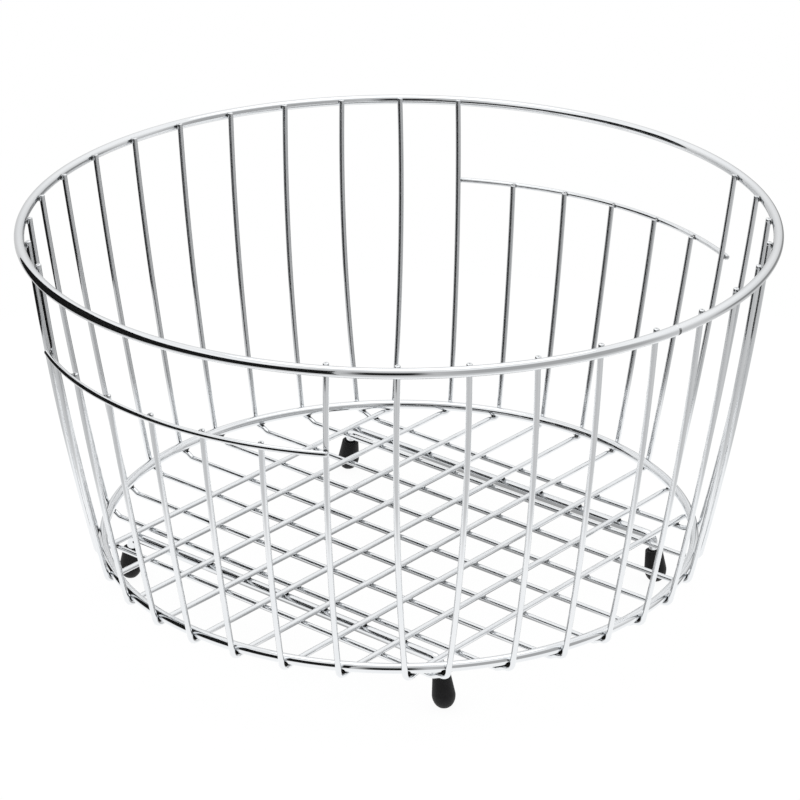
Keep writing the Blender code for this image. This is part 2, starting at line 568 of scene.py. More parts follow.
@dataclass(frozen=True)
class BrightChrome:
    """Bright nickel and chrome plate on drawn steel wire.

    Plating this thin keeps the faint lines that the drawing die left along the wire, and the bath
    leaves a slow ripple. Next to a weld the steel was scorched and spattered before it was plated, so
    there the plate is darker, rougher and pitted. Under the bottom ring the same dark colour is also
    painted shade, for the dark corner between each hook and the ring.
    """

    name: str
    plate: str = "E6E7E8"
    plate_cool: str = "DADDE0"
    # Dark weld colour; on the beads and bends at the bottom ring's hooks it is also painted shade
    scorch_and_painted_shade: str = "1F1E1D"
    scorch_and_painted_shade_edge: str = "5C5A58"
    roughness: float = 0.045
    line_roughness: float = 0.10
    weld_roughness: float = 0.22
    line_width: float = 0.00035
    line_length: float = 0.030
    line_depth: float = 0.0000012
    ripple_size: float = 0.0060
    ripple_depth: float = 0.0000060
    pit_size: float = 0.00045
    pit_depth: float = 0.00004
    pit_roughness: float = 0.6
    plain_roughness: float = 0.5
    cloud_size: float = 0.040
    raggedness: float = 0.5
    scorch_and_shade_from: float = 0.30
    scorch_and_shade_to: float = 0.75
    line_from: float = 0.35
    line_to: float = 0.75

    def material(self) -> bpy.types.Material:
        """Build the material.

        Returns:
            A metal whose base colour, roughness and bump come from the drawn coordinates, in metres of
            straight wire, and from the heat value at each point, which at the bottom ring's hooks also
            carries painted shade.
        """
        made = bpy.data.materials.new(self.name)
        tree = empty_tree(made)
        drawn = add_node(tree, "Attribute", attribute_name="drawn").outputs["Vector"]
        heat = add_node(tree, "Attribute", attribute_name="weld_heat_and_painted_shade").outputs["Fac"]
        lines_scale = (1 / self.line_length, 1 / self.line_width, 1 / self.line_width)
        stretched = add_node(tree, "Mapping", {"Vector": drawn, "Scale": lines_scale}).outputs[0]
        lines, ripple, cloud, pits = [
            add_node(tree, "TexNoise", {
                "Vector": place, "Scale": scale, "Detail": detail, "Roughness": rough,
            }).outputs["Fac"]
            for place, scale, detail, rough in (
                (stretched, 1.0, 2.0, self.plain_roughness),
                (drawn, 1 / self.ripple_size, 1.0, self.plain_roughness),
                (drawn, 1 / self.cloud_size, 2.0, self.plain_roughness),
                (drawn, 1 / self.pit_size, 2.0, self.pit_roughness),
            )
        ]
        ragged = add_node(tree, "Math", {0: pits, 1: self.raggedness, 2: heat}, operation="MULTIPLY_ADD")
        # Dark where the heat value is high: weld marks, and painted shade at the hooks under the bottom
        # ring
        scorch_and_shade_mask = add_node(tree, "MapRange", {
            "Value": ragged,
            "From Min": self.raggedness / 2 + self.scorch_and_shade_from,
            "From Max": self.raggedness / 2 + self.scorch_and_shade_to,
        }, interpolation_type="SMOOTHSTEP").outputs[0]
        clouded = add_node(tree, "Mix", {0: cloud, 6: self.plate, 7: self.plate_cool}, data_type="RGBA")
        colour_inputs = {0: scorch_and_shade_mask, 6: clouded.outputs[2], 7: self.scorch_and_painted_shade}
        colour = add_node(tree, "Mix", colour_inputs, data_type="RGBA")
        glancing = add_node(tree, "Mix", {0: scorch_and_shade_mask, 6: "FFFFFF", 7: self.scorch_and_painted_shade_edge}, data_type="RGBA")
        line_gloss = add_node(tree, "MapRange", {
            "Value": lines, "From Min": self.line_from, "From Max": self.line_to,
            "To Min": self.roughness, "To Max": self.line_roughness,
        })
        gloss = add_node(tree, "Mix", {0: scorch_and_shade_mask, 2: line_gloss, 3: self.weld_roughness}, data_type="FLOAT")
        spatter = add_node(tree, "Math", {0: pits, 1: heat}, operation="MULTIPLY")
        normal = add_node(tree, "Bump", {"Height": lines, "Distance": self.line_depth}).outputs[0]
        for height, depth in ((ripple, self.ripple_depth), (spatter, self.pit_depth)):
            bump_inputs = {"Height": height, "Distance": depth, "Normal": normal}
            normal = add_node(tree, "Bump", bump_inputs).outputs[0]
        shader = add_node(tree, "BsdfPrincipled", {
            "Base Color": colour.outputs[2], "Metallic": 1.0, "Specular Tint": glancing.outputs[2],
            "Roughness": gloss, "Normal": normal,
        })
        add_node(tree, "OutputMaterial", {"Surface": shader})
        return made


@dataclass(frozen=True)
class MouldedRubber:
    """Black PVC rubber, compression moulded.

    The mould is sand blasted, which leaves an even fine grain and a soft sheen with no clear
    reflection. The sole greys a little where it stands and where it was pushed about.
    """

    name: str
    black: str = "0E0E0F"
    bloom: str = "1A1A1B"
    scuffed: str = "363533"
    roughness: float = 0.55
    sheen_level: float = 0.20
    scuffed_roughness: float = 0.80
    grain_size: float = 0.00035
    grain_depth: float = 0.00002
    bloom_size: float = 0.006
    scuff_height: float = 0.0011

    def material(self) -> bpy.types.Material:
        """Build the material.

        Returns:
            A black rubber whose grain, bloom and scuffed sole come from Object coordinates in metres.
        """
        made = bpy.data.materials.new(self.name)
        tree = empty_tree(made)
        place = add_node(tree, "TexCoord").outputs["Object"]
        height = add_node(tree, "SeparateXYZ", {0: place}).outputs["Z"]
        grain, bloom = [
            add_node(tree, "TexNoise", {"Vector": place, "Scale": 1 / size, "Detail": fine}).outputs["Fac"]
            for size, fine in ((self.grain_size, 2.0), (self.bloom_size, 3.0))
        ]
        low = add_node(tree, "MapRange", {
            "Value": height, "From Min": 0.0, "From Max": self.scuff_height, "To Min": 1.0, "To Max": 0.0,
        })
        scuff = add_node(tree, "Math", {0: low, 1: bloom}, operation="MULTIPLY").outputs[0]
        bloomed = add_node(tree, "Mix", {0: bloom, 6: self.black, 7: self.bloom}, data_type="RGBA")
        colour_inputs = {0: scuff, 6: bloomed.outputs[2], 7: self.scuffed}
        colour = add_node(tree, "Mix", colour_inputs, data_type="RGBA")
        gloss_inputs = {"Value": scuff, "To Min": self.roughness, "To Max": self.scuffed_roughness}
        gloss = add_node(tree, "MapRange", gloss_inputs)
        bump = add_node(tree, "Bump", {"Height": grain, "Distance": self.grain_depth})
        shader = add_node(tree, "BsdfPrincipled", {
            "Base Color": colour.outputs[2], "Roughness": gloss,
            "Specular IOR Level": self.sheen_level, "Normal": bump,
        })
        add_node(tree, "OutputMaterial", {"Surface": shader})
        return made


# Sub-assemblies


@dataclass
class Dresser:
    """What every sub-assembly needs to turn a surface into a finished piece."""

    thick_chrome: bpy.types.Material
    thin_chrome: bpy.types.Material
    rubber: bpy.types.Material

    def dress(self, surface: Surface, name: str, slot: str, nodes: list[str]) -> None:
        """Make the piece, give it its finish, and say what it stands for and that it rides on the basket.

        Args:
            surface: the piece's shape.
            name: the piece's name.
            slot: the record's material slot.
            nodes: the CAD nodes that it replaces, if any.
        """
        finishes = {
            "thick_wire": self.thick_chrome,
            "thin_wire": self.thin_chrome,
            "foot_rubber": self.rubber,
        }
        made = surface.piece(name)
        made.data.materials.append(finishes[slot])
        if nodes:
            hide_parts(*nodes)
        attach(made, "root")
        faces = 2 * len(surface.quads) + len(surface.triangles)
        log.info("%s: %d triangles, for %s", name, faces, ", ".join(nodes) or "no CAD node")


@dataclass
class WeldPlan:
    """Where the wires are welded to each other."""

    sizes: BasketSizes
    outer_lean: float = 1.0
    # The inner welds sit on each hook's bend, where their dark tint is also painted shade
    inner_lean: float = -0.5

    def wire_ends(self) -> list[tuple[Layer, int, float]]:
        """Return every wire's layer, number and the sign that puts it on each side."""
        return [(layer, int(number), turn) for layer in Layer for number in self.sizes.wire_numbers()
                for turn in (1.0, -1.0)]

    @staticmethod
    def turned(points: np.ndarray, layer: Layer, sign: float) -> np.ndarray:
        """Take points from the +Y side of the lower layer to another side, or to the upper layer."""
        flipped = points * np.array([1.0, sign, 1.0])
        return flipped[..., [1, 0, 2]] if layer is Layer.UPPER else flipped

    def rim(self) -> np.ndarray:
        """Find the welds between the ribs and the rim.

        Returns:
            One point per rib, just inside the rim wire.
        """
        size = self.sizes
        inside = (size.rim_radius - size.rim_wire / 2 - size.weld_gap / 2) / size.rib_top_radius
        found = []
        for layer, number, sign in self.wire_ends():
            if not size.is_short(layer, number):
                rib = size.rib_points(number, size.rim_height)
                found.append(self.turned(rib, layer, sign) * np.array([inside, inside, 1.0]))
        return np.concatenate(found)

    def ring_side(self, lean: float) -> np.ndarray:
        """Return the welds between the wires and the bottom ring on one side of its underside.

        Args:
            lean: how far out from the ring's axis the way to the weld goes, for each step down.

        Returns:
            One point per end of each wire.
        """
        size = self.sizes
        found = []
        for layer, number, sign in self.wire_ends():
            foot = size.rib_points(number, size.ring_height)
            outward = unit(foot * backward)
            on_axis = foot - outward * size.hook_radius
            away = unit(outward * lean - upward)
            weld = on_axis + away * (size.ring_wire / 2 + size.weld_gap / 2)
            found.append(self.turned(weld, layer, sign))
        return np.concatenate(found)

    def ring(self) -> np.ndarray:
        """Return all the welds between the wires and the bottom ring."""
        return np.concatenate([self.ring_side(self.outer_lean), self.ring_side(self.inner_lean)])

    def mesh(self) -> np.ndarray:
        """Find the welds where the two layers of the base mesh cross.

        Returns:
            One point per crossing, halfway between the layers.
        """
        size = self.sizes
        place = size.wire_numbers() * size.mesh_pitch
        across, along = np.meshgrid(place, place)
        height = (size.upper_wire_height + size.lower_wire_height) / 2
        return np.column_stack([across.ravel(), along.ravel(), np.full(across.size, height)])

    def handle(self) -> np.ndarray:
        """Find the welds between the ribs and the handle arcs.

        Returns:
            One point per rib that an arc holds, just outside the rib.
        """
        size = self.sizes
        inner = size.rib_radius(size.arc_height)
        outside = (inner + size.thin_wire / 2 + size.weld_gap / 2) / inner
        numbers = range(-size.short_ribs_each_side - 1, size.short_ribs_each_side + 2)
        ribs = np.concatenate([size.rib_points(number, size.arc_height) for number in numbers])
        both = np.concatenate([self.turned(ribs, Layer.UPPER, sign) for sign in (1.0, -1.0)])
        return both * np.array([outside, outside, 1.0])

    def rail(self) -> np.ndarray:
        """Find the welds between the upper layer of the mesh and the foot rails.

        Returns:
            One point for each wire that crosses the straight part of a rail.
        """
        size = self.sizes
        along = size.wire_numbers() * size.mesh_pitch
        straight = size.ring_radius * size.rail_reach_share - size.elbow_radius
        along = along[np.abs(along - size.rail_shift) < straight]
        height = size.upper_wire_height - size.thin_wire / 2 - size.weld_gap / 2
        one = np.column_stack([np.full(len(along), size.rail_across), along, np.full(len(along), height)])
        return np.concatenate([one, one * np.array([-1.0, 1.0, 1.0])])

    def everywhere(self) -> np.ndarray:
        """Return all the welds."""
        return np.concatenate([self.rim(), self.ring(), self.mesh(), self.handle(), self.rail()])


@dataclass(frozen=True)
class BeadKind:
    """The beads of one kind of joint: half sizes of each lump, and how strongly it is scorched, up to 1."""

    name: str
    half_long: float
    half_wide: float
    half_thick: float
    # How dark the weld mark is; on the beads under the bottom ring it is also painted shade
    heat: float


@dataclass
class WeldBeads:
    """The small lumps of steel squeezed out where two wires were pressed together and welded."""

    plan: WeldPlan
    columns: int = 10
    rows: int = 5
    unevenness: float = 0.16
    seed: int = 11
    rim: BeadKind = BeadKind("rim_weld_beads", 0.0015, 0.0011, 0.00075, 0.55)
    handle: BeadKind = BeadKind("handle_weld_beads", 0.0012, 0.0012, 0.0007, 0.5)
    # Under the bottom ring the beads are weld marks and painted shade: the outer ones fill the dark corner
    # between hook and ring, the inner ones darken each hook's bend
    ring: BeadKind = BeadKind("ring_weld_beads_painted_shade", 0.0015, 0.0017, 0.0010, 1.0)
    ring_inner: BeadKind = BeadKind("ring_inner_weld_beads_painted_shade", 0.0010, 0.0011, 0.0006, 0.6)
    mesh: BeadKind = BeadKind("mesh_weld_beads", 0.0009, 0.0008, 0.0006, 0.55)
    rail: BeadKind = BeadKind("rail_weld_beads", 0.0012, 0.0009, 0.0007, 0.7)

    def add(self, dresser: Dresser, kind: BeadKind, centres: np.ndarray, flat_way: np.ndarray,
            long_way: np.ndarray) -> None:
        """Make one closed lump per weld, all of them one piece.

        A point is centre + half size * (sin(b) * cos(a), sin(b) * sin(a), cos(b)) in the weld's own
        axes, with each lump's half sizes changed a little by chance.

        Args:
            dresser: the finishes.
            kind: what the lumps are like.
            centres: the welds.
            flat_way: at each weld, the direction from one wire to the other.
            long_way: at each weld, the direction that the lump is longest in.
        """
        chance = np.random.default_rng(self.seed)
        count = len(centres)
        flat = unit(flat_way)
        long = unit(long_way - (long_way * flat).sum(axis=1, keepdims=True) * flat)
        cross = np.cross(flat, long)
        spread = 1 + self.unevenness * chance.uniform(-1.0, 1.0, (count, 1, 3))
        polar = np.linspace(0.0, math.pi, self.rows + 2)[1:-1][:, None]
        angle = np.linspace(0.0, 2 * math.pi, self.columns, endpoint=False)[None, :]
        level = np.cos(polar) + 0 * angle
        shape = np.stack([np.sin(polar) * np.cos(angle), np.sin(polar) * np.sin(angle), level], axis=-1)
        shape = np.concatenate([shape.reshape(-1, 3), [[0.0, 0.0, 1.0], [0.0, 0.0, -1.0]]])
        local = shape[None] * spread * np.array([kind.half_long, kind.half_wide, kind.half_thick])
        axes = np.stack([long, cross, flat], axis=1)
        points = (centres[:, None, :] + np.einsum("nki,nij->nkj", local, axes)).reshape(-1, 3)
        start = (np.arange(count) * len(shape))[:, None, None]
        quads, fans = capped_faces(self.rows, self.columns, True)
        heat = np.full(len(points), kind.heat)
        lumps = Surface(points, (quads + start).reshape(-1, 4), (fans + start).reshape(-1, 3), points, heat)
        dresser.dress(lumps, kind.name, "thin_wire", [])

    def build(self, dresser: Dresser) -> None:
        """Make the beads of each kind of joint.

        Args:
            dresser: the finishes.
        """
        plan = self.plan
        size = plan.sizes
        for kind, welds in ((self.rim, plan.rim()), (self.handle, plan.handle())):
            self.add(dresser, kind, welds, welds * level_part, np.ones_like(welds) * upward)
        # Beads under the bottom ring: weld marks and painted shade at each hook
        for kind, lean in ((self.ring, plan.outer_lean), (self.ring_inner, plan.inner_lean)):
            welds = plan.ring_side(lean)
            on_axis = unit(welds * level_part) * size.ring_radius + upward * size.ring_height
            self.add(dresser, kind, welds, welds - on_axis, np.cross(upward, welds))
        layers = ((self.mesh, plan.mesh(), level_part), (self.rail, plan.rail(), rightward))
        for kind, welds, long_way in layers:
            self.add(dresser, kind, welds, np.ones_like(welds) * upward, np.ones_like(welds) * long_way)


@dataclass
class Rings:
    """The rim and the bottom ring, each one wire bent round and butt welded."""

    sizes: BasketSizes
    plan: WeldPlan
    drawing: Drawing = Drawing(sides=32, plain_step=0.003, turn_step=math.radians(1.5))
    rim_seam: float = math.radians(-97.2)
    ring_seam: float = math.radians(45.0)
    path_steps: int = 1441
    seam_steps: int = 13
    seam_width: float = 0.0018
    seam_rise: float = 0.00005
    seam_clean: float = 0.0012
    seam_heat: float = 0.6

    def loop(self, radius: float, height: float, seam: float) -> np.ndarray:
        """Return a ring's axis, once round from its seam."""
        return level_arc(radius, height, seam, seam + 2 * math.pi, self.path_steps)

    def seam_collar(self) -> Surface:
        """Make the flash that the butt weld left round the rim wire.

        It is a tube along a short piece of the rim's axis, whose radius is
        wire radius + rise * (2 * sin(pi * t) ** 0.5 - 1), with t from end to end. It was ground clean
        on top, so its heat mark fades out upwards from seam_clean above the rim's axis.

        Returns:
            The closed surface.
        """
        size = self.sizes
        half = self.seam_width / size.rim_radius / 2
        start, end = self.rim_seam - half, self.rim_seam + half
        axis = level_arc(size.rim_radius, size.rim_height, start, end, self.seam_steps)
        hump = np.sin(np.linspace(0.0, math.pi, self.seam_steps))
        radii = size.rim_wire / 2 + self.seam_rise * (2 * hump ** 0.5 - 1)
        rings = self.drawing.rings(axis, radii, upward, False).reshape(-1, 3)
        points = np.concatenate([rings, axis[:1], axis[-1:]])
        heat = self.seam_heat * np.clip(2 - (points[:, 2] - size.rim_height) / self.seam_clean, 0.0, 1.0)
        quads, fans = capped_faces(self.seam_steps, self.drawing.sides, False)
        return Surface(points, quads, fans, points, heat)

    def build(self, dresser: Dresser) -> None:
        """Make both rings and the rim's seam.

        Args:
            dresser: the finishes.
        """
        size = self.sizes
        rim_path = self.loop(size.rim_radius, size.rim_height, self.rim_seam)
        ring_path = self.loop(size.ring_radius, size.ring_height, self.ring_seam)
        rim = self.drawing.ring_wire(rim_path, size.rim_wire, upward, self.plan.rim())
        # The ring's dark weld tint at each hook is a weld mark and painted shade for the corner under it
        ring = self.drawing.ring_wire(ring_path, size.ring_wire, upward, self.plan.ring())
        dresser.dress(rim, "rim_ring_chromed", "thick_wire", ["rim_ring"])
        dresser.dress(ring, "bottom_ring_chromed", "thick_wire", ["bottom_ring"])
        dresser.dress(self.seam_collar(), "rim_butt_weld", "thick_wire", [])


@dataclass
class MeshWires:
    """The U-shaped wires: each is a rib, a run across the base, and a rib again."""

    sizes: BasketSizes
    plan: WeldPlan
    drawing: Drawing = Drawing()
    rib_steps: int = 90
    bend_steps: int = 28
    level_steps: int = 28
    cut_edge: float = 0.0005
    cut_spread: float = 0.0004
    sway: float = 0.00035
    seed: int = 23

    def level(self, layer: Layer, number: int, start: np.ndarray) -> np.ndarray:
        """Return the bend that takes a wire from its hook up or down to its layer.

        Its height is start + (base - start) * (1 - cos(pi * t)) / 2, with t from 0 to 1 along it. It
        ends before the wire's first crossing.

        Args:
            layer: the wire's layer.
            number: the wire's number.
            start: where the hook ends.

        Returns:
            Points of the bend on the +Y side.
        """
        size = self.sizes
        under_ring = math.sqrt(size.ring_radius ** 2 - (number * size.mesh_pitch) ** 2)
        end = max(under_ring - size.mesh_pitch * size.bend_run_share, size.outer_wire * size.mesh_pitch)
        base = size.upper_wire_height if layer is Layer.UPPER else size.lower_wire_height
        share = np.linspace(0.0, 1.0, self.level_steps + 1)[1:]
        along = start[1] + (end - start[1]) * share
        change = (base - start[2]) * (1 - np.cos(share * math.pi)) / 2
        return np.column_stack([np.full(self.level_steps, start[0]), along, start[2] + change])

    def half(self, layer: Layer, number: int, short_by: float, sway: float) -> np.ndarray:
        """Return half of a wire's axis on the +Y side, from its cut tip to the middle of the base.

        Args:
            layer: its layer.
            number: its number.
            short_by: how much lower than most this tip was cut.
            sway: how far the rib leans sideways halfway up, as sway * sin(pi * t).

        Returns:
            Points of the axis.
        """
        size = self.sizes
        short = size.is_short(layer, number)
        held = size.arc_height if short else size.rim_height
        top = held + (size.arc_tip_rise if short else size.tip_rise) - short_by
        low = size.ring_height + size.hook_radius
        rib = size.rib_points(number, np.linspace(top, low, self.rib_steps))
        share = np.clip((rib[:, 2] - low) / (held - low), 0.0, 1.0)
        rib[:, 0] += sway * np.sin(math.pi * share)
        foot = size.rib_points(number, size.ring_height)[0]
        straight = size.rib_points(number, low)[0]
        slope = (foot - straight) / (size.ring_height - low)
        corner = straight + slope * (size.hook_height - low)
        inward = corner - backward * size.mesh_pitch
        hook = round_corner(straight, corner, inward, size.hook_radius, self.bend_steps)
        return np.concatenate([rib[:-1], hook, self.level(layer, number, hook[-1])])

    def axis(self, layer: Layer, number: int, chance: np.random.Generator) -> np.ndarray:
        """Return the axis of a whole wire, in its place.

        Args:
            layer: its layer.
            number: its number.
            chance: where the small differences between wires come from.

        Returns:
            Points of the axis from tip to tip.
        """
        cuts = chance.uniform(0.0, self.cut_spread, 2)
        sways = chance.uniform(-self.sway, self.sway, 2)
        back = self.half(layer, number, cuts[0], sways[0])
        front = self.half(layer, number, cuts[1], sways[1])
        whole = np.concatenate([back, front[::-1] * mirror_y])
        return WeldPlan.turned(whole, layer, 1.0)

    def build(self, dresser: Dresser) -> None:
        """Make all the wires of both layers.

        Args:
            dresser: the finishes.
        """
        chance = np.random.default_rng(self.seed)
        welds = self.plan.everywhere()
        for layer in Layer:
            across = rightward if layer is Layer.LOWER else backward
            for place, number in enumerate(self.sizes.wire_numbers(), start=1):
                axis = self.axis(layer, int(number), chance)
                # Near the bottom ring the weld tint on each hook's bend is also painted shade
                near = welds[nearest_weld(welds, axis) < 2 * self.drawing.weld_zone]
                surface = self.drawing.open_wire(axis, self.sizes.thin_wire, across, near, self.cut_edge)
                node = "%s_wire_%d" % (layer.value, place)
                dresser.dress(surface, node + "_chromed", "thin_wire", [node])


@dataclass
class HandleArcs:
    """The wire along the lower edge of each handle opening, outside the ribs that it holds."""

    sizes: BasketSizes
    plan: WeldPlan
    drawing: Drawing = Drawing(sides=24, turn_step=math.radians(2.0))
    path_steps: int = 181
    cut_edge: float = 0.0006

    def axis(self, middle: float) -> np.ndarray:
        """Return an arc's axis.

        Args:
            middle: the angle of its middle.

        Returns:
            Points from end to end.
        """
        size = self.sizes
        inner = size.rib_radius(size.arc_height)
        radius = inner + size.thin_wire + size.weld_gap
        last_rib = size.rib_across(size.short_ribs_each_side + 1, size.arc_height)
        reach = math.asin(last_rib / inner) + size.arc_end_past / radius
        return level_arc(radius, size.arc_height, middle - reach, middle + reach, self.path_steps)

    def build(self, dresser: Dresser) -> None:
        """Make both arcs.

        Args:
            dresser: the finishes.
        """
        wire = self.sizes.thin_wire
        welds = self.plan.handle()
        for side, middle in ((Side.RIGHT, 0.0), (Side.LEFT, math.pi)):
            surface = self.drawing.open_wire(self.axis(middle), wire, upward, welds, self.cut_edge)
            node = "handle_arc_" + side.name.lower()
            dresser.dress(surface, node + "_chromed", "thin_wire", [node])


@dataclass
class FootRails:
    """The two rods under the base whose bent ends are the legs."""

    sizes: BasketSizes
    plan: WeldPlan
    drawing: Drawing = Drawing(sides=28)
    bend_steps: int = 40
    leg_depth_share: float = 0.62
    cut_edge: float = 0.0004

    @property
    def down_leg(self) -> np.ndarray:
        """The direction down a leg at the +Y end."""
        return np.array([0.0, math.sin(self.sizes.splay), -math.cos(self.sizes.splay)])

    def elbow(self, side: Side) -> np.ndarray:
        """Return a rail's elbow on the +Y side, before the rail's shift.

        Args:
            side: which rail.

        Returns:
            Points from the straight part to the leg.
        """
        size = self.sizes
        start = np.array([side.value * size.rail_across, 0.0, size.rail_height])
        corner = start + backward * size.ring_radius * size.rail_reach_share
        below = corner + self.down_leg * size.rail_height
        return round_corner(start, corner, below, size.elbow_radius, self.bend_steps)

    def cap_top(self, side: Side, end: End) -> np.ndarray:
        """Return where a leg goes into its foot cap.

        Args:
            side: which rail.
            end: which of its legs.

        Returns:
            The point on the leg's axis.
        """
        size = self.sizes
        top = self.elbow(side)[-1] + self.down_leg * size.bare_leg
        return top * np.array([1.0, end.value, 1.0]) + backward * size.rail_shift

    def axis(self, side: Side) -> np.ndarray:
        """Return a rail's axis.

        Args:
            side: which rail.

        Returns:
            Points from leg end to leg end.
        """
        size = self.sizes
        bend = self.elbow(side)
        top = bend[-1] + self.down_leg * size.bare_leg
        half = np.concatenate([bend, [top + self.down_leg * top[2] * self.leg_depth_share]])
        return np.concatenate([half[::-1], half * mirror_y]) + backward * size.rail_shift

    def build(self, dresser: Dresser) -> None:
        """Make both rails.

        Args:
            dresser: the finishes.
        """
        welds = self.plan.rail()
        for side in Side:
            axis = self.axis(side)
            surface = self.drawing.open_wire(axis, self.sizes.rail_wire, rightward, welds, self.cut_edge)
            node = "foot_rail_" + side.name.lower()
            dresser.dress(surface, node + "_chromed", "thick_wire", [node])


@dataclass
class FootCaps:
    """The push-on rubber caps: turned cups that lean with the legs and stand level."""

    sizes: BasketSizes
    rails: FootRails
    columns: int = 72
    top_wall: float = 0.0016
    lip: float = 0.00035
    wide_radius: float = 0.0057
    wide_share: float = 0.63
    sole_share: float = 0.15
    mould_line: float = 0.00005
    mould_line_turn: float = 0.06
    lip_steps: int = 9
    wall_steps: int = 14
    under_steps: int = 12

    def outline(self, length: float) -> np.ndarray:
        """Return a cap's outline from the bore's floor, over the lip and round to the sole.

        The lip is half an ellipse, the wall a straight slope down to its widest place, and below that
        it turns under as a quarter of an ellipse.

        Args:
            length: how far the cap's top is above the floor.

        Returns:
            Radius and height of each point, with height 0 at the cap's top.
        """
        size = self.sizes
        bore = size.rail_wire / 2 + size.weld_gap
        depth = length * self.rails.leg_depth_share + size.weld_gap
        wide = length * self.wide_share
        sole = self.wide_radius * self.sole_share
        below = (length + sole * math.sin(size.splay) + size.weld_gap) / math.cos(size.splay)
        top = bore + self.top_wall
        bend = np.linspace(math.pi, 0.0, self.lip_steps)
        crown = (bore + top) / 2
        half_wall = self.top_wall / 2
        lip = np.column_stack([crown + half_wall * np.cos(bend), self.lip * (np.sin(bend) - 1.0)])
        share = np.linspace(0.0, 1.0, self.wall_steps + 1)[1:-1]
        wall_radius = top + (self.wide_radius - top) * share
        wall = np.column_stack([wall_radius, -self.lip - (wide - self.lip) * share])
        turn = np.linspace(0.0, math.pi / 2, self.under_steps)
        under_radius = sole + (self.wide_radius - sole) * np.cos(turn)
        under = np.column_stack([under_radius, -wide - (below - wide) * np.sin(turn)])
        inside = np.array([[bore / 2, -depth], [bore, -depth], [bore, -depth / 2]])
        under_sole = np.array([[sole / 2, -below]])
        return np.concatenate([inside, lip, wall, under, under_sole])

    def cap(self, top: np.ndarray, end: End) -> Surface:
        """Turn the outline round the leg's axis and level it where it stands.

        A point is top + R * (r * cos(a), r * sin(a), h), with R the leg's lean, and a point that would
        be under the floor slides back along the leg's axis to the floor. The moulding line is a ridge
        of mould_line * exp(-(sin(a) / mould_line_turn) ** 2) down both sides of the wall.

        Args:
            top: where the leg comes out of the cap.
            end: the end of the rail that it is on.

        Returns:
            The closed surface.
        """
        outline = self.outline(float(top[2]))
        angle = np.linspace(0.0, 2 * math.pi, self.columns, endpoint=False)[None, :]
        ridge = self.mould_line * np.exp(-(np.sin(angle) / self.mould_line_turn) ** 2)
        inside_points = len(outline) - self.wall_steps - self.under_steps
        outside = (np.arange(len(outline)) > inside_points)[:, None]
        radius = outline[:, :1] + ridge * outside
        height = outline[:, 1:] + 0 * angle
        local = np.stack([radius * np.cos(angle), radius * np.sin(angle), height], axis=-1).reshape(-1, 3)
        local = np.concatenate([local, outline[[0, -1], 1:] * upward])
        lean = np.array(Matrix.Rotation(end.value * self.sizes.splay, 3, "X"))
        points = top + local @ lean.T
        axis = lean @ upward
        sunk = np.minimum(points[:, 2], 0.0) / axis[2]
        points = points - sunk[:, None] * axis
        quads, fans = capped_faces(len(outline), self.columns, True)
        return Surface(points, quads, fans, points, np.zeros(len(points)))

    def build(self, dresser: Dresser) -> None:
        """Make the four caps.

        Args:
            dresser: the finishes.
        """
        for side in Side:
            for end in End:
                surface = self.cap(self.rails.cap_top(side, end), end)
                node = "foot_%s_%s" % (end.name.lower(), side.name.lower())
                dresser.dress(surface, node + "_moulded", "foot_rubber", [node])


# Studio


@dataclass(frozen=True)
class RoomPatch:
    """A part of the room that bright metal reflects, darker than the white studio round it.

    Angles are in degrees: turn is counted from the camera's side, anticlockwise seen from above, and
    lift is above the horizon.
    """

    shade: str
    turn_from: float
    turn_to: float
    lift_from: float
    lift_to: float
    turn_soft: float
    lift_soft: float

    def edges(self, tree: bpy.types.NodeTree, value: bpy.types.NodeSocket, start: float, end: float,
              soft: float) -> bpy.types.NodeSocket:
        """Return a socket that is 1 between two angles and falls smoothly to 0 outside them.

        Args:
            tree: the world's node tree.
            value: the angle in degrees.
            start: the lower edge.
            end: the upper edge.
            soft: how wide each edge is.

        Returns:
            The product of a rise at start and a fall at end.
        """
        sides = [
            add_node(tree, "MapRange", {
                "Value": value, "From Min": edge - soft, "From Max": edge + soft,
                "To Min": low, "To Max": 1.0 - low,
            }, interpolation_type="SMOOTHSTEP").outputs[0]
            for edge, low in ((start, 0.0), (end, 1.0))
        ]
        return add_node(tree, "Math", {0: sides[0], 1: sides[1]}, operation="MULTIPLY").outputs[0]

    def over(self, tree: bpy.types.NodeTree, colour: bpy.types.NodeSocket, turn: bpy.types.NodeSocket,
             lift: bpy.types.NodeSocket) -> bpy.types.NodeSocket:
        """Lay the patch over what is there so far.

        Args:
            tree: the world's node tree.
            colour: the colour so far.
            turn: the direction's turn in degrees.
            lift: the direction's lift in degrees.

        Returns:
            The colour with the patch in it.
        """
        sideways = self.edges(tree, turn, self.turn_from, self.turn_to, self.turn_soft)
        upright = self.edges(tree, lift, self.lift_from, self.lift_to, self.lift_soft)
        share = add_node(tree, "Math", {0: sideways, 1: upright}, operation="MULTIPLY").outputs[0]
        patch = {0: share, 6: colour, 7: self.shade}
        return add_node(tree, "Mix", patch, data_type="RGBA").outputs[2]


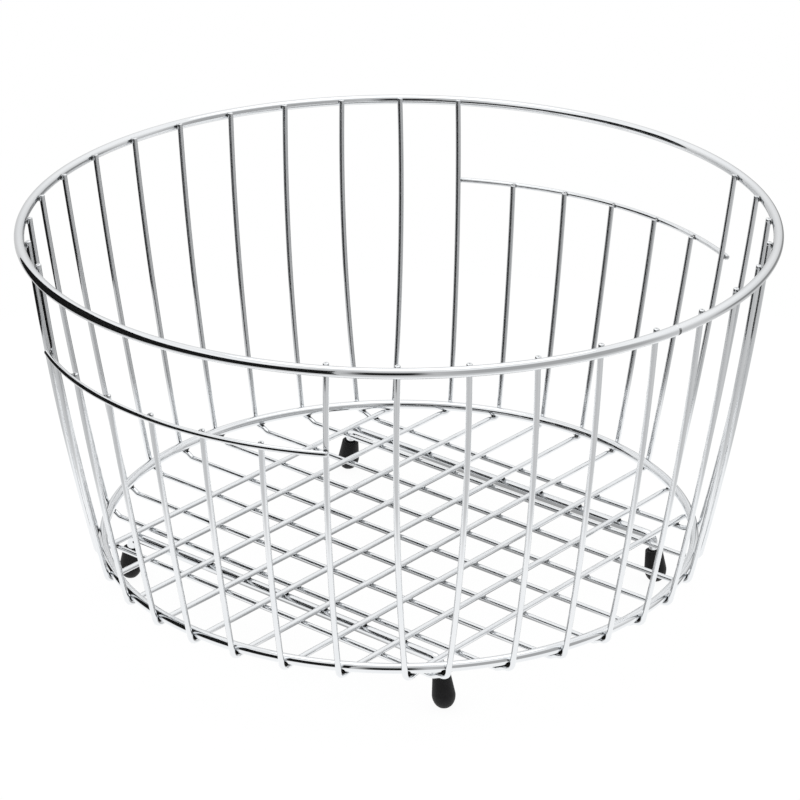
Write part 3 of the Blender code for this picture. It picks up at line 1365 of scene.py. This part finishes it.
@dataclass
class Studio:
    """A white studio: the room as bright metal sees it, a pale floor, a black flag and one soft lamp."""

    camera_turn: float
    light_level: float = 1.22
    floor_radius: float = 0.42
    floor_steps: int = 96
    floor_white: str = "F1F1F1"
    floor_roughness: float = 0.9
    fade_from: float = 0.6
    fade_to: float = 0.97
    fibre_scale: float = 900.0
    fibre_depth: float = 0.00002
    shadow_share: float = 0.08
    glow_level: float = 1.02
    glare_from: float = 0.24
    glare_to: float = 0.31
    glare_level: float = 1.15
    # Painted shade that metal sees on the floor under the basket
    shade_from: float = 0.09
    shade_to: float = 0.13
    painted_shade_grey: str = "A2A2A2"
    lamp_power: float = 3.0
    lamp_size: float = 1.2
    lamp_place: tuple[float, float, float] = (0.25, 0.15, 1.6)
    lamp_aim_height: float = 0.1
    flag_distance: float = 0.44
    flag_low: float = -0.004
    flag_top: tuple[float, ...] = (0.55, 0.55, 0.42, 0.35, 0.35)
    flag_from: float = math.radians(102.0)
    flag_to: float = math.radians(206.0)
    flag_steps: int = 49
    flag_black: str = "1A1A1A"
    patches: tuple[RoomPatch, ...] = (
        RoomPatch("A9A9A9", 4.0, 78.0, -24.0, 44.0, 9.0, 9.0),
        RoomPatch("C0C0C0", -34.0, 14.0, -40.0, 60.0, 9.0, 9.0),
        RoomPatch("8A8A8A", 104.0, 168.0, -20.0, 2.0, 8.0, 5.0),
        RoomPatch("1C1C1C", -13.0, 7.0, -15.0, 33.0, 4.0, 4.0),
    )
    sky: tuple[tuple[float, str], ...] = (
        (0.0, "D6D6D6"),
        (0.22, "D0D0D0"),
        (0.36, "C6C6C6"),
        (0.47, "C8C8C8"),
        (0.53, "D0D0D0"),
        (0.61, "E2E2E2"),
        (0.69, "F4F4F4"),
        (0.78, "FAFAFA"),
        (0.86, "EEEEEE"),
        (1.0, "DADADA"),
    )

    def world(self) -> None:
        """Build the room.

        A camera ray that misses everything meets plain white. Metal sees the same white behind and
        under the basket, and in front of it the grey, unlit end of the room with the dark camera stand.
        """
        made = bpy.data.worlds.new("white_studio")
        tree = empty_tree(made)
        way = add_node(tree, "TexCoord").outputs["Generated"]
        facing = add_node(tree, "VectorRotate", {"Vector": way, "Angle": -self.camera_turn},
                          rotation_type="Z_AXIS")
        x, y, z = add_node(tree, "SeparateXYZ", {0: facing}).outputs
        angles = (
            add_node(tree, "Math", {0: y, 1: x}, operation="ARCTAN2"),
            add_node(tree, "Math", {0: z}, operation="ARCSINE"),
        )
        turn, lift = [
            add_node(tree, "Math", {0: angle}, operation="DEGREES").outputs[0]
            for angle in angles
        ]
        share = add_node(tree, "MapRange", {"Value": lift, "From Min": -90.0, "From Max": 90.0})
        colour = add_node(tree, "ValToRGB", {0: share}, stops=list(self.sky)).outputs[0]
        for patch in self.patches:
            colour = patch.over(tree, colour, turn, lift)
        room = add_node(tree, "Background", {"Color": colour, "Strength": self.light_level})
        white = add_node(tree, "Background", {"Color": "FFFFFF", "Strength": 1.0})
        rays = add_node(tree, "LightPath").outputs
        shown = add_node(tree, "MixShader", {0: rays["Is Camera Ray"], 1: room, 2: white})
        add_node(tree, "OutputWorld", {"Surface": shown})
        bpy.context.scene.world = made

    def floor_finish(self) -> bpy.types.Material:
        """Build the floor's finish: matt white card that keeps a little of the basket's shadow.

        Returns:
            White card whose shading counts for shadow_share, and fades to plain white at its edge. Metal
            sees it with a painted shade under the basket and bright round it, and further out looks through
            it.
        """
        made = bpy.data.materials.new("matt_white_card")
        tree = empty_tree(made)
        place = add_node(tree, "TexCoord").outputs["Object"]
        out = add_node(tree, "VectorMath", {0: place}, operation="LENGTH").outputs["Value"]
        fade_start = self.floor_radius * self.fade_from
        fade_end = self.floor_radius * self.fade_to
        edge, under, far = [
            add_node(tree, "MapRange", {
                "Value": out, "From Min": start, "From Max": end, "To Min": low,
            }, interpolation_type="SMOOTHSTEP").outputs[0]
            for start, end, low in (
                (fade_start, fade_end, 1.0 - self.shadow_share),
                (self.shade_from, self.shade_to, 0.0),
                (self.glare_from, self.glare_to, 0.0),
            )
        ]
        fibre_inputs = {"Vector": place, "Scale": self.fibre_scale, "Detail": 2.0}
        fibre = add_node(tree, "TexNoise", fibre_inputs).outputs["Fac"]
        bump = add_node(tree, "Bump", {"Height": fibre, "Distance": self.fibre_depth})
        card = add_node(tree, "BsdfPrincipled", {
            "Base Color": self.floor_white, "Roughness": self.floor_roughness,
            "Normal": bump,
        })
        glow = add_node(tree, "Emission", {"Color": "FFFFFF", "Strength": self.glow_level})
        rays = add_node(tree, "LightPath").outputs
        share = add_node(tree, "Math", {0: rays["Is Camera Ray"], 1: edge}, operation="MULTIPLY")
        lit = add_node(tree, "MixShader", {0: share, 1: card, 2: glow})
        # Painted shade: glossy rays see the floor grey under the basket and bright round it
        floor_with_painted_shade = add_node(tree, "Mix", {0: under, 6: self.painted_shade_grey, 7: "FFFFFF"}, data_type="RGBA")
        glare = add_node(tree, "Emission", {"Color": floor_with_painted_shade.outputs[2], "Strength": self.glare_level})
        clear = add_node(tree, "BsdfTransparent")
        seen = add_node(tree, "MixShader", {0: far, 1: glare, 2: clear})
        either = {0: rays["Is Glossy Ray"], 1: rays["Is Transmission Ray"]}
        mirrored = add_node(tree, "Math", either, operation="MAXIMUM")
        shown = add_node(tree, "MixShader", {0: mirrored, 1: lit, 2: seen})
        add_node(tree, "OutputMaterial", {"Surface": shown})
        return made

    @staticmethod
    def sheet(name: str, points: np.ndarray, faces: list[list[int]], finish: bpy.types.Material) -> None:
        """Make a sheet of the studio and link it to the scene.

        Args:
            name: its name.
            points: its points.
            faces: the point numbers of each face.
            finish: its material.
        """
        mesh = bpy.data.meshes.new(name)
        mesh.from_pydata(points.tolist(), [], faces)
        mesh.materials.append(finish)
        made = placed(name, mesh)

    def floor(self) -> None:
        """Make the floor: a disc of points at (r * cos(a), r * sin(a), 0)."""
        turn = 2 * math.pi * (1 - 1 / self.floor_steps)
        points = level_arc(self.floor_radius, 0.0, 0.0, turn, self.floor_steps)
        self.sheet("floor", points, [list(range(self.floor_steps))], self.floor_finish())

    def flag_finish(self) -> bpy.types.Material:
        """Build the flag's finish: black velvet that only bright metal sees, in its reflections.

        Returns:
            A plain dark surface for glossy rays, and nothing at all for every other ray.
        """
        made = bpy.data.materials.new("black_velvet")
        tree = empty_tree(made)
        clear = add_node(tree, "BsdfTransparent")
        velvet = add_node(tree, "Emission", {"Color": self.flag_black, "Strength": 1.0})
        glossy = add_node(tree, "LightPath").outputs["Is Glossy Ray"]
        shown = add_node(tree, "MixShader", {0: glossy, 1: clear, 2: velvet})
        add_node(tree, "OutputMaterial", {"Surface": shown})
        return made

    def flag(self) -> None:
        """Stand a curved black flag at the photo's left, which draws the dark lines in the chrome.

        Its points are at (r * cos(a), r * sin(a), z), with z from flag_low up to flag_top's heights,
        which are evenly spread over its angle.
        """
        steps = self.flag_steps
        low = level_arc(self.flag_distance, self.flag_low, self.flag_from, self.flag_to, steps)
        share = np.linspace(0.0, 1.0, steps)
        rise = np.interp(share, np.linspace(0.0, 1.0, len(self.flag_top)), self.flag_top)
        high = low * level_part + rise[:, None] * upward
        row = np.arange(steps - 1)
        faces = np.stack([row, row + 1, row + 1 + steps, row + steps], axis=-1)
        self.sheet("black_flag", np.concatenate([low, high]), faces.tolist(), self.flag_finish())

    def lamp(self) -> None:
        """Hang one large soft lamp over the basket, a little behind it."""
        light = bpy.data.lights.new("soft_lamp", "AREA")
        light.shape = "DISK"
        light.size = self.lamp_size
        light.energy = self.lamp_power
        made = placed("soft_lamp", light)
        made.location = self.lamp_place
        aim = Vector((0.0, 0.0, self.lamp_aim_height)) - made.location
        made.rotation_euler = aim.to_track_quat("-Z", "Y").to_euler()

    def build(self) -> None:
        """Set up the room, the floor, the flag and the lamp."""
        self.world()
        self.floor()
        self.flag()
        self.lamp()
        log.info("studio: world, floor, flag and lamp")


@dataclass(frozen=True)
class PhotoCamera:
    """A camera with a long lens at the photograph's viewing angle."""

    turn: float = math.radians(220.149)
    lift: float = math.radians(24.202)
    distance: float = 1.6282
    slide_right: float = 0.00054
    slide_up: float = 0.06384
    focal_pixels: float = 3194.3
    image_pixels: float = 800.0
    sensor_mm: float = 36.0
    aim_height: float = 0.0314
    clip_near: float = 0.05

    def build(self) -> None:
        """Place the camera on a sphere round the bottom ring's centre, then slide it in its own plane."""
        level = math.cos(self.lift)
        back = Vector((level * math.cos(self.turn), level * math.sin(self.turn), math.sin(self.lift)))
        right = Vector((0.0, 0.0, 1.0)).cross(back).normalized()
        up = back.cross(right)
        place = Vector((0.0, 0.0, self.aim_height)) + back * self.distance
        place += right * self.slide_right + up * self.slide_up
        lens = bpy.data.cameras.new("photo_camera")
        lens.sensor_width = self.sensor_mm
        lens.lens = self.focal_pixels / self.image_pixels * self.sensor_mm
        lens.clip_start = self.clip_near
        made = placed("photo_camera", lens)
        turned = Matrix((right, up, back)).transposed().to_4x4()
        made.matrix_world = Matrix.Translation(place) @ turned
        bpy.context.scene.camera = made
        log.info("camera: %.0f mm lens, %.2f m away", lens.lens, self.distance)


def main() -> None:
    """Dress the whole basket, then set up the camera and the studio."""
    logging.basicConfig(level=logging.INFO, format="%(name)s: %(message)s")
    sizes = BasketSizes()
    plan = WeldPlan(sizes)
    thick = BrightChrome("bright_chrome_on_thick_rod", line_width=0.00045)
    thin = BrightChrome("bright_chrome_on_thin_wire")
    rubber = MouldedRubber("black_moulded_rubber")
    dresser = Dresser(thick.material(), thin.material(), rubber.material())
    rails = FootRails(sizes, plan)
    Rings(sizes, plan).build(dresser)
    MeshWires(sizes, plan).build(dresser)
    HandleArcs(sizes, plan).build(dresser)
    rails.build(dresser)
    FootCaps(sizes, rails).build(dresser)
    WeldBeads(plan).build(dresser)
    camera = PhotoCamera()
    camera.build()
    Studio(camera_turn=camera.turn).build()
    bpy.context.scene.view_settings.view_transform = "Standard"


if __name__ == "__main__":
    main()
